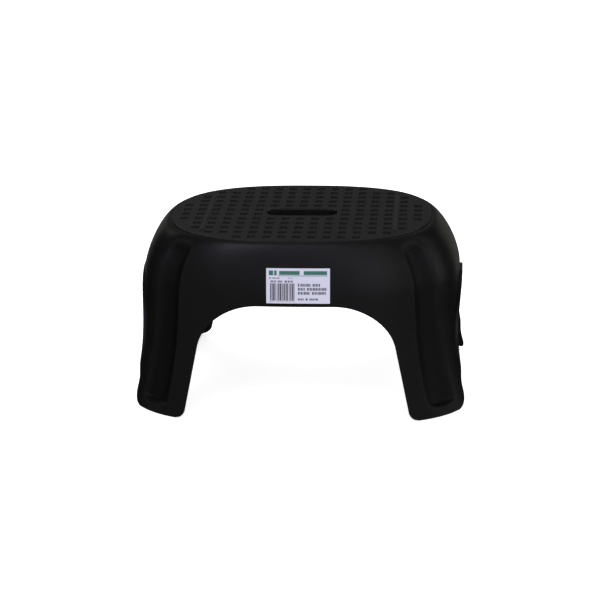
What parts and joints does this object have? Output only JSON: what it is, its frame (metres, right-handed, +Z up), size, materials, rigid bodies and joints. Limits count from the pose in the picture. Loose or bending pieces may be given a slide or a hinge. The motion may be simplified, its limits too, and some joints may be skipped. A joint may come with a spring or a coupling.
{
  "type": "step stool",
  "caption": "Low one-piece plastic step stool with an oval non-slip tread, a hand slot, splayed fluted legs and arched sides.",
  "frame": {"origin": "on the floor under the middle of the stool", "axes": "+X along the stool's length, +Y towards its back, away from the label, +Z up"},
  "size_m": [0.4074, 0.292, 0.22],
  "materials": {
    "moulding": "fine satin moulded polypropylene, black",
    "label": "thin printed self-adhesive film, pale",
    "pads": "matte soft rubber, near black"
  },
  "bodies": {
    "root": {"stool_shell": "moulding", "label_sticker": "label", "foot_pad_front_left": "pads", "foot_pad_front_right": "pads", "foot_pad_back_left": "pads", "foot_pad_back_right": "pads"}
  },
  "joints": []
}
